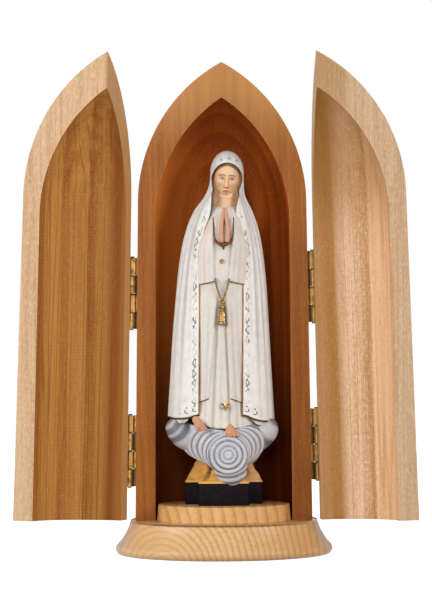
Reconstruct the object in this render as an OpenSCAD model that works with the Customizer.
// Tabletop niche shrine: a turned lancet shell cut into a back half and two quarter doors,
// hinged at the sides, standing on a turned base, with a carved praying figure inside.
// Millimetres, +Z up, the shell's axis is the Z axis and the base stands on z = 0.
// The viewer looks along +Y, so -Y is the front.

/* [Base] */
// Height of the turned base under the shell
base_h = 14; // [10:0.5:20]
// Radius of the flat top of the base
base_top_r = 39.4; // [38.5:0.1:42]
// Widest radius of the base, at its rounded lip
base_lip_r = 45.7; // [44:0.1:50]
// Height of the rounded lip
lip_h = 5; // [4:0.1:7]
// Radius of the hollow flare between the lip and the top
cove_r = 23; // [16:0.5:40]

/* [Plinth] */
// Height of the round plinth that the figure stands on
plinth_h = 7; // [4:0.5:12]
// Gap between the plinth and the hollow of the shell
plinth_gap = 0.6; // [0.4:0.1:2]
// How much narrower the plinth is at its top
plinth_taper = 0.6; // [0:0.1:2]

/* [Shell] */
// Outer radius of the shell at its foot
shell_foot_r = 37.4; // [35:0.1:38.4]
// Outer radius of the shell where the arch springs
shell_spring_r = 35.6; // [34:0.1:37]
// Height of the springing above the foot
spring_h = 133.8; // [125:0.2:150]
// Radius of the outer arch
arch_r = 68; // [60:0.5:80]
// Radius of the hollow at its foot
hollow_foot_r = 28.9; // [27:0.1:31]
// Radius of the hollow where its arch springs
hollow_spring_r = 28.3; // [27:0.1:31]
// Height of the hollow's springing above the foot
hollow_spring_h = 126; // [115:0.2:130]
// Radius of the hollow's arch
hollow_arch_r = 63; // [50:0.5:70]

/* [Doors] */
// Opening angle of the left door as it stands
left_open_angle = 105.8; // [0:0.2:175]
// Opening angle of the right door as it stands
right_open_angle = 93.4; // [0:0.2:175]
// Gap between closed doors, and between a closed door and the back shell
seam = 0.6; // [0.4:0.1:1.5]
// Height of the doors over the base
door_lift = 0.5; // [0.4:0.1:1.5]

/* [Hinges] */
// Height of the left lower hinge's middle above the shell's foot
hinge_low = 29.5; // [20:0.5:40]
// Distance from the lower hinge's middle to the upper one's
hinge_pitch = 66.5; // [50:0.5:85]
// How much higher the right door's hinges sit
right_hinge_raise = 2.5; // [0:0.5:4]
// Length of a hinge
hinge_h = 30; // [20:0.5:36]
// Number of knuckles in a hinge
knuckles = 4; // [4:1:7]
// Gap between neighbouring knuckles
knuckle_gap = 0.25; // [0.15:0.05:0.5]
// Radius of the hinge barrel
barrel_r = 1.8; // [1.6:0.05:1.9]
// Radius of the hinge pin
pin_r = 0.8; // [0.6:0.05:1]
// Radial clearance of the pin in its bores
pin_fit = 0.06; // [0.02:0.01:0.1]
// How far the pin stands out of the barrel at each end
pin_out = 0.6; // [0.2:0.1:1.5]
// Thickness of a hinge leaf
leaf_t = 0.9; // [0.8:0.05:1.2]
// Width of a hinge leaf along the wall
leaf_w = 9; // [6:0.5:14]
// Distance of the hinge axis from the shell's wall, halfway between the hinges
hinge_offset = 2.3; // [2.3:0.05:2.5]
// Lean of the hinge axes towards the middle, at the top
hinge_tilt_angle = 1.06; // [0.6:0.02:1.2]

/* [Figure pedestal] */
// Height of the dark block under the figure
block_h = 9.3; // [6:0.1:12]
// Width of the block
block_w = 32.6; // [28:0.2:36]
// Depth of the block behind its step
block_d = 18; // [14:0.5:20]
// Width of the part that steps forward
step_w = 21.2; // [16:0.2:26]
// How far it steps forward
step_d = 12.5; // [6:0.5:14]
// Where the front of the wide part lies, in front of the axis
block_front = 4; // [2:0.5:6]
// Height of the rock above the block
rock_h = 9.5; // [6:0.5:12]
// Size of the rock's top, as a share of its foot
rock_taper = 0.66; // [0.5:0.02:0.9]

/* [Figure] */
// Height of the cloak's hem above the plinth
hem_h = 33.2; // [31:0.2:38]
// Height of the waist above the hem
waist_rise = 52.8; // [40:0.2:60]
// Height of the shoulders above the waist
shoulder_rise = 38; // [32:0.2:44]
// Height of the chin above the shoulders
chin_rise = 6.5; // [5:0.1:9]
// Height of the brow, where the veil closes, above the chin
brow_rise = 12.5; // [10:0.1:15]
// Height of the crown above the brow
crown_rise = 6; // [4:0.1:8]
// Half width of the cloak at the hem
hem_w = 22.6; // [18:0.1:24]
// Half width of the cloak at the waist
waist_w = 19.6; // [16:0.1:21]
// Half width of the cloak at the shoulders
shoulder_w = 13.3; // [11:0.1:15]
// Half width of the veil at the head
head_w = 7; // [6.6:0.1:8.5]
// How far the head stands to the right of the axis
head_shift = 2.1; // [0:0.1:3]
// Depth of the cloak behind the figure's middle, at the hem
hem_back = 15; // [11:0.5:17]
// Depth of the cloak behind the figure's middle, at the waist
waist_back = 13; // [10:0.5:15]
// Depth of the cloak behind the figure's middle, at the shoulders
shoulder_back = 9.5; // [8:0.5:12]
// Depth of the cloak in front of the figure's middle, at the hem
hem_front = 13.5; // [12:0.5:16]
// Depth of the cloak in front of the figure's middle, at the waist
waist_front = 12.5; // [11:0.5:15]
// Depth of the cloak in front of the figure's middle, at the shoulders
shoulder_front = 10; // [9:0.5:12]
// Depth of the veil in front of and behind the head's middle
head_d = 7; // [6.5:0.1:8]
// Half width of the cloak's front opening
opening_w = 8.9; // [7:0.1:10]
// Half width of the veil's face opening
face_w = 5.2; // [4.5:0.1:5.4]
// Thickness of the cloak's front edge
cloak_t = 1.1; // [0.8:0.1:1.2]
// Clearance between the figure's pieces
figure_fit = 0.12; // [0.08:0.02:0.2]

/* [Hidden] */
$fn = 96;

LEFT = -1;
RIGHT = 1;
wood = "#c8935c";
brass = "#b8923e";
cloak_white = "#e9e5e2";
tunic_white = "#efe6da";
skin = "#e3a983";
gold = "#b98c3a";

// Turned shell

function wall_r(h) = shell_foot_r + (shell_spring_r - shell_foot_r) * h / spring_h;

module ogive(foot_r, spring_r, spring_h, arch_r, drop) {
    polygon([[0, -drop], [foot_r, -drop], [foot_r, 0], [spring_r, spring_h], [0, spring_h]]);
    intersection() {
        translate([spring_r - arch_r, spring_h]) circle(r = arch_r);
        translate([0, spring_h]) square([spring_r, arch_r]);
    }
}

// Half section of the wall, from the axis outwards; the hollow is open below
module wall_section() {
    difference() {
        ogive(shell_foot_r, shell_spring_r, spring_h, arch_r, 0);
        ogive(hollow_foot_r, hollow_spring_r, hollow_spring_h, hollow_arch_r, seam);
    }
}

module back_shell() {
    color(wood) translate([0, 0, base_h]) rotate_extrude(angle = 180) wall_section();
}

// Where a closed door's own axis lies
function door_shift(side) = [side * seam / 2, -seam, base_h + door_lift];

module closed_door(side) {
    quarter_start = side == LEFT ? 180 : 270;
    translate(door_shift(side)) rotate([0, 0, quarter_start]) rotate_extrude(angle = 90) wall_section();
}

module left_door() { color(wood) swing(LEFT) closed_door(LEFT); }

module right_door() { color(wood) swing(RIGHT) closed_door(RIGHT); }

// Base

// Centre of the circle of radius r through a and b, on the right-hand side going from a to b
function circle_centre(a, b, r) =
    let (half = (b - a) / 2, reach = sqrt(r * r - half * half))
    a + half + [half[1], -half[0]] / norm(half) * reach;

module base_foot() {
    nose_r = lip_h / 2;
    shoulder = [base_top_r, base_h];
    flare_end = [base_lip_r - nose_r, lip_h];
    cove_end = [base_lip_r - nose_r * (1 - cos(45)), nose_r * (1 + sin(45))];
    color(wood) rotate_extrude() {
        square([base_lip_r - nose_r, lip_h]);
        intersection() {
            translate([base_lip_r - nose_r, nose_r]) circle(r = nose_r);
            square([base_lip_r, lip_h]);
        }
        difference() {
            polygon([[0, nose_r], [flare_end[0], nose_r], cove_end, shoulder, [0, base_h]]);
            translate(circle_centre(cove_end, shoulder, cove_r)) circle(r = cove_r);
        }
    }
}

module plinth() {
    foot_r = hollow_foot_r - plinth_gap;
    color(wood) translate([0, 0, base_h]) cylinder(h = plinth_h, r1 = foot_r, r2 = foot_r - plinth_taper);
}

// Hinges

hinge_mid = hinge_low + hinge_pitch / 2;
function hinge_h_at(side, upper) =
    hinge_low + (upper ? hinge_pitch : 0) + (side == RIGHT ? right_hinge_raise : 0);
function axis_dir(side) = [-side * sin(hinge_tilt_angle), 0, cos(hinge_tilt_angle)];
function axis_at(side, h) =
    [side * (wall_r(hinge_mid) + hinge_offset), -seam / 2, base_h + hinge_mid]
    + axis_dir(side) * (h - hinge_mid) / cos(hinge_tilt_angle);

// Turns a closed door, or what is fixed to it, to where it stands
module swing(side) {
    pivot = axis_at(side, hinge_mid);
    angle = side == LEFT ? left_open_angle : right_open_angle;
    translate(pivot) rotate(a = side * angle, v = axis_dir(side)) translate(-pivot) children();
}

// Stands a shape upright on the hinge axis, its origin at the hinge's middle
module on_axis(side, upper) {
    translate(axis_at(side, hinge_h_at(side, upper))) rotate([0, -side * hinge_tilt_angle, 0]) children();
}

knuckle_l = (hinge_h - (knuckles - 1) * knuckle_gap) / knuckles;
function knuckle_low(k) = -hinge_h / 2 + k * (knuckle_l + knuckle_gap);

// The knuckles counted from below, every other one: first 0 or 1
module barrel(first, r, extra) {
    for (k = [first : 2 : knuckles - 1])
        translate([0, 0, knuckle_low(k) - extra]) cylinder(h = knuckle_l + 2 * extra, r = r);
}

// A leaf bent to the round wall, on the right-hand side of the shell, from the angle start on
module wall_leaf(h, start) {
    seat = 0.05;
    low = h - hinge_h / 2;
    high = h + hinge_h / 2;
    inner_low = wall_r(low) + seat;
    inner_high = wall_r(high) + seat;
    leaf_angle = leaf_w / wall_r(h) * 180 / PI;
    rotate([0, 0, start < 0 ? -leaf_angle : 0]) rotate_extrude(angle = leaf_angle)
        polygon([[inner_low, low], [inner_low + leaf_t, low], [inner_high + leaf_t, high], [inner_high, high]]);
}

// One leaf with its knuckles, closed. The shell's knuckles start at the second from below on the
// left and at the first on the right, because the right hinge is the left one turned over.
module hinge_leaf(side, upper, on_door) {
    clear = 0.25;
    h = hinge_h_at(side, upper);
    shell_first = side == LEFT ? 1 : 0;
    own_first = on_door ? 1 - shell_first : shell_first;
    color(brass) difference() {
        union() {
            difference() {
                translate(on_door ? door_shift(side) - [0, 0, door_lift] : [0, 0, base_h])
                    mirror([side == LEFT ? 1 : 0, 0, 0]) wall_leaf(h, on_door ? -1 : 1);
                on_axis(side, upper) barrel(1 - own_first, barrel_r + clear, knuckle_gap);
            }
            on_axis(side, upper) barrel(own_first, barrel_r, 0);
        }
        on_axis(side, upper) cylinder(h = hinge_h + 2 * knuckle_l, r = pin_r + pin_fit, center = true);
    }
}

module hinge_pin(side, upper) {
    color(brass) on_axis(side, upper) cylinder(h = hinge_h + 2 * pin_out, r = pin_r, center = true);
}

// Figure

figure_z = base_h + plinth_h;
waist_h = hem_h + waist_rise;
shoulder_h = waist_h + shoulder_rise;
chin_h = shoulder_h + chin_rise;
brow_h = chin_h + brow_rise;
crown_h = brow_h + crown_rise;
rock_top = block_h + rock_h;
elbow_h = shoulder_h - 15.2;

// How much wider the cloak is at the elbows and the chin, and its opening at the elbows and the
// shoulders, than a straight line between the sizes above
elbow_swell = 0.8;
chin_swell = 1;
opening_swell = 0.6;
collar_swell = 0.9;
// How far the tunic and the face stand out of the opening
hem_bulge = 2.5;
waist_bulge = 2;
collar_bulge = 0.8;
throat_bulge = 1.5;
chin_bulge = 4.2;
cheek_bulge = 4.6;
brow_bulge = 3.4;
// Sideways lean of the figure and depth of the hollow behind the opening
hem_shift = -1;
waist_shift = -0.6;
shoulder_shift = 0.2;
hem_hollow = 2;
head_hollow = 1;

// The same sizes as tables of [height, size]
cloak_half_w = [[hem_h, hem_w], [waist_h, waist_w], [elbow_h, (waist_w + shoulder_w) / 2 + elbow_swell],
    [shoulder_h, shoulder_w], [chin_h, head_w + chin_swell], [brow_h, head_w]];
cloak_back = [[hem_h, hem_back], [waist_h, waist_back], [shoulder_h, shoulder_back], [chin_h, head_d], [brow_h, head_d]];
cloak_front = [[hem_h, hem_front], [waist_h, waist_front], [shoulder_h, shoulder_front], [chin_h, head_d], [brow_h, head_d]];
figure_shift = [[hem_h, hem_shift], [waist_h, waist_shift], [shoulder_h, shoulder_shift], [chin_h, head_shift]];
opening_half_w = [[hem_h, opening_w], [elbow_h, opening_w + opening_swell], [shoulder_h, face_w + collar_swell],
    [chin_h, face_w]];
hollow_back = [[hem_h, hem_hollow], [shoulder_h, head_hollow]];
front_bulge = [[hem_h, hem_bulge], [waist_h, waist_bulge], [elbow_h, waist_bulge], [shoulder_h, collar_bulge],
    [chin_h - 1, throat_bulge], [chin_h, chin_bulge], [chin_h + brow_rise / 2, cheek_bulge], [brow_h, brow_bulge]];

function steps(a, b, n) = [for (k = [0 : n - 1]) a + (b - a) * k / n];
body_levels = concat(steps(hem_h, waist_h, 4), steps(waist_h, shoulder_h, 5));
face_levels = concat(steps(shoulder_h, chin_h, 3), steps(chin_h, brow_h, 5));
dome_levels = steps(brow_h + 0.4, crown_h, 5);

around = 21;  // points along each long side of a ring
function along(i) = 2 * i / (around - 1) - 1;
function dome(h) = sqrt(max(0.03, 1 - pow((h - brow_h) / crown_rise, 2)));

// Angle of the cloak's front edge, measured from straight ahead
function edge_angle(h) = asin(min(0.97, (lookup(h, opening_half_w) + cloak_t) / lookup(h, cloak_half_w)));
function edge_y(h) = -lookup(h, cloak_front) * cos(edge_angle(h));

function cloak_outer(h, i, size) =
    let (turn = along(i) * (180 - edge_angle(h)), depth = cos(turn) > 0 ? cloak_back : cloak_front)
    [lookup(h, figure_shift) + size * lookup(h, cloak_half_w) * sin(turn),
     size * lookup(h, depth) * cos(turn), h];

// The inside of the front opening: a flat-bottomed hollow, smaller by gap all round
function opening_wall(h, i, gap) =
    [lookup(h, figure_shift) + (lookup(h, opening_half_w) - gap) * along(i),
     edge_y(h) + (lookup(h, hollow_back) - gap - edge_y(h)) * (1 - pow(along(i), 6)), h];

function veil_front(h, i) =
    let (turn = along(i) * edge_angle(h) * 0.97, size = dome(h))
    [lookup(h, figure_shift) + size * lookup(h, cloak_half_w) * sin(turn),
     -size * lookup(h, cloak_front) * cos(turn), h];

function inlay_front(h, i) =
    [lookup(h, figure_shift) + (lookup(h, opening_half_w) - figure_fit) * along(i),
     edge_y(h) - 0.3 - lookup(h, front_bulge) * (1 - pow(along(i), 2)), h];

function cloak_ring(h) = h > brow_h
    ? concat([for (i = [0 : around - 1]) cloak_outer(h, i, dome(h))],
             [for (i = [around - 1 : -1 : 0]) veil_front(h, i)])
    : concat([for (i = [0 : around - 1]) cloak_outer(h, i, 1)],
             [for (i = [around - 1 : -1 : 0]) opening_wall(h, i, 0)]);

function inlay_ring(h) =
    concat([for (i = [0 : around - 1]) opening_wall(h, i, figure_fit)],
           [for (i = [around - 1 : -1 : 0]) inlay_front(h, i)]);

// Solid through rings of equal length, each running clockwise from above: first half, then
// second half back again, so that a ring's ends close as strips between its halves
module ring_loft(rings) {
    n = len(rings[0]);
    last = len(rings) - 1;
    sides = [for (j = [0 : last - 1], i = [0 : n - 1])
        let (a = j * n + i, b = j * n + (i + 1) % n) each [[a, b, b + n], [a, b + n, a + n]]];
    strip = [for (i = [0 : n / 2 - 2]) each [[i, i + 1, n - 2 - i], [i, n - 2 - i, n - 1 - i]]];
    top = [for (f = strip) [for (v = f) v + last * n]];
    bottom = [for (f = strip) [f[2], f[1], f[0]]];
    polyhedron(points = [for (r = rings) each r], faces = concat(sides, top, bottom));
}

module cloak() {
    color(cloak_white) translate([0, 0, figure_z])
        ring_loft([for (h = concat(body_levels, face_levels, [brow_h], dome_levels, [crown_h])) cloak_ring(h)]);
}

module tunic() {
    color(tunic_white) translate([0, 0, figure_z])
        ring_loft([for (h = concat(body_levels, [shoulder_h - figure_fit])) inlay_ring(h)]);
}

module head() {
    color(skin) translate([0, 0, figure_z])
        ring_loft([for (h = concat(face_levels, [brow_h - figure_fit])) inlay_ring(h)]);
}

// Plan of the dark block: a wide part with a narrower one stepped forward
module block_plan() {
    translate([-block_w / 2, -block_front]) square([block_w, block_d]);
    translate([-step_w / 2, -block_front - step_d]) square([step_w, step_d + block_d / 2]);
}

module pedestal_block() {
    color("#26232c") translate([0, 0, figure_z]) linear_extrude(block_h) block_plan();
}

// The rock tapers upwards; gap is added all round it
module rock_form(gap) {
    linear_extrude(rock_h + gap, scale = rock_taper) offset(delta = gap) block_plan();
}

module pedestal_rock() {
    color("#cf9c4c") translate([0, 0, figure_z + block_h]) rock_form(0);
}

// A rounded disc, one ring of the cloud, facing along the direction given
module cloud_ring(at, towards, r, t) {
    flat = norm([towards[0], towards[1]]);
    translate(at) rotate([0, atan2(flat, towards[2]), atan2(towards[1], towards[0])])
        hull() rotate_extrude($fn = 24) translate([r - t / 2, 0]) circle(d = t, $fn = 6);
}

// The cloud hangs under the hem: the tip of its front roll, the middle where the two side rolls
// start, and the far ends of those
cloud_tip = [2, -19, hem_h - 11.7];
cloud_mid = [1.8, -12, hem_h - 11];
cloud_left = [-14, -4, hem_h - 7];
cloud_right = [13.5, -4.5, hem_h - 7.5];
cloud_r = 8.2;
cloud_left_r = 5.4;
cloud_right_r = 6.2;
cloud_ring_t = 2.8;
lobe_r = 6;
tail_r = 4.8;

module side_roll(end, end_r) {
    rings = 5;
    side = sign(end[0]);
    for (k = [1 : rings])
        cloud_ring(cloud_mid + (end - cloud_mid) * k / rings, (cloud_mid - end) * k / rings + [0, -3, 0],
            cloud_r + (end_r - cloud_r) * k / rings, cloud_ring_t);
    hull() {
        translate([side * (hem_w - lobe_r + 1), 1, hem_h - lobe_r]) sphere(r = lobe_r, $fn = 20);
        translate(end + [0, 4, 0]) sphere(r = end_r, $fn = 20);
        translate([0, 5, rock_top]) sphere(r = lobe_r, $fn = 20);
    }
}

module cloud() {
    tip_rings = 4;
    reach = 2 * hem_w;
    color("#a9adb8") translate([0, 0, figure_z]) difference() {
        union() {
            for (k = [0 : tip_rings])
                cloud_ring(cloud_tip + (cloud_mid - cloud_tip) * k / tip_rings, [0, -1, -0.1],
                    cloud_r * sqrt((k + 1) / (tip_rings + 1)), cloud_ring_t);
            side_roll(cloud_left, cloud_left_r);
            side_roll(cloud_right, cloud_right_r);
            hull() {
                translate([cloud_mid[0] + 1.4, cloud_mid[1] - 1.8, block_h + 4]) sphere(r = tail_r, $fn = 20);
                translate(cloud_mid) sphere(r = tail_r, $fn = 20);
            }
            hull() for (x = [-lobe_r, lobe_r])
                translate([x, -lobe_r, hem_h - lobe_r]) sphere(r = cloud_r, $fn = 20);
        }
        translate([0, 0, block_h]) rock_form(figure_fit);
        translate([-reach, -reach, hem_h - figure_fit]) cube(2 * reach);
        translate([-reach, -reach, block_h - 2 * reach]) cube(2 * reach);
    }
}

// A closed skin around balls given as [place, radius]
module skin_over(balls) {
    hull() for (b = balls) translate(b[0]) sphere(r = b[1], $fn = 20);
}

chest_y = -13.5;
hands_x = 2;

module sleeve(side) {
    cuff = [hands_x + side * 3.4, chest_y, elbow_h];
    color(tunic_white) translate([0, 0, figure_z]) skin_over([
        [cuff, 2.2],
        [[side * (opening_w - 1.6), chest_y + 3, elbow_h - 1], 2],
        [[side * (opening_w - 1.8), chest_y + 2, elbow_h - 13.5], 1.6],
        [[side * 4.2, chest_y + 1, elbow_h - 13], 1.6]
    ]);
}

module hand(side) {
    color(skin) translate([0, 0, figure_z]) skin_over([
        [[hands_x + side * 1.6, chest_y - 0.6, elbow_h + 1], 1.5],
        [[hands_x + side * 1.3, chest_y - 2, elbow_h + 6], 1.3],
        [[hands_x + side * 0.7, chest_y - 2.6, shoulder_h - 0.4], 0.7]
    ]);
}

module foot(at) {
    color(skin) translate([0, 0, figure_z]) skin_over([
        [at + [0, 3.5, 1.2], 2.2],
        [at + [0.3, 0, 0.3], 2],
        [at + [0.4, -1.6, -0.4], 1.5]
    ]);
}

module rod(a, b, r) {
    run = b - a;
    flat = norm([run[0], run[1]]);
    translate(a) rotate([0, atan2(flat, run[2]), atan2(run[1], run[0])]) cylinder(h = norm(run), r = r);
}

tassel_top = [-0.2, -13.4, waist_h - 1.4];

module neck_chain() {
    chain_r = 0.45;
    color(gold) translate([0, 0, figure_z]) for (side = [LEFT, RIGHT])
        rod([side * 2.7, chest_y + 0.6, elbow_h - 14], tassel_top + [side * 0.6, 0, 0], chain_r);
}

module tassel() {
    tassel_l = 9.6;
    color(gold) translate([tassel_top[0], tassel_top[1], figure_z + tassel_top[2] - tassel_l])
        rotate_extrude() polygon([[0, 0], [1.9, 0], [1.7, 0.7], [1.4, 1], [1.4, 4.6], [1.8, 5.2],
            [1.2, 6], [1.6, 7.2], [1, 8.4], [1, tassel_l], [0, tassel_l]]);
}

module star() {
    points = 6;
    outer_r = 2.3;
    star_t = 1.2;
    star_at = [1, -14.6, hem_h + 8.4];
    color(gold) translate(star_at + [0, 0, figure_z]) rotate([90, 0, 0]) linear_extrude(star_t)
        polygon([for (k = [0 : 2 * points - 1])
            (k % 2 == 0 ? outer_r : outer_r * 0.5) * [sin(k * 180 / points), cos(k * 180 / points)]]);
}

base_foot();
plinth();
back_shell();
left_door();
right_door();
hinge_leaf(LEFT, false, false);  // left_lower_hinge_shell_leaf
swing(LEFT) hinge_leaf(LEFT, false, true);  // left_lower_hinge_door_leaf
hinge_pin(LEFT, false);  // left_lower_hinge_pin
hinge_leaf(LEFT, true, false);  // left_upper_hinge_shell_leaf
swing(LEFT) hinge_leaf(LEFT, true, true);  // left_upper_hinge_door_leaf
hinge_pin(LEFT, true);  // left_upper_hinge_pin
hinge_leaf(RIGHT, false, false);  // right_lower_hinge_shell_leaf
swing(RIGHT) hinge_leaf(RIGHT, false, true);  // right_lower_hinge_door_leaf
hinge_pin(RIGHT, false);  // right_lower_hinge_pin
hinge_leaf(RIGHT, true, false);  // right_upper_hinge_shell_leaf
swing(RIGHT) hinge_leaf(RIGHT, true, true);  // right_upper_hinge_door_leaf
hinge_pin(RIGHT, true);  // right_upper_hinge_pin
pedestal_block();
pedestal_rock();
cloud();
tunic();
cloak();
head();
sleeve(LEFT);  // left_sleeve
sleeve(RIGHT);  // right_sleeve
hand(LEFT);  // left_hand
hand(RIGHT);  // right_hand
foot([-10, -12.5, hem_h - 1.6]);  // left_foot
foot([3.3, -15, hem_h - 3.6]);  // right_foot
neck_chain();
tassel();
star();
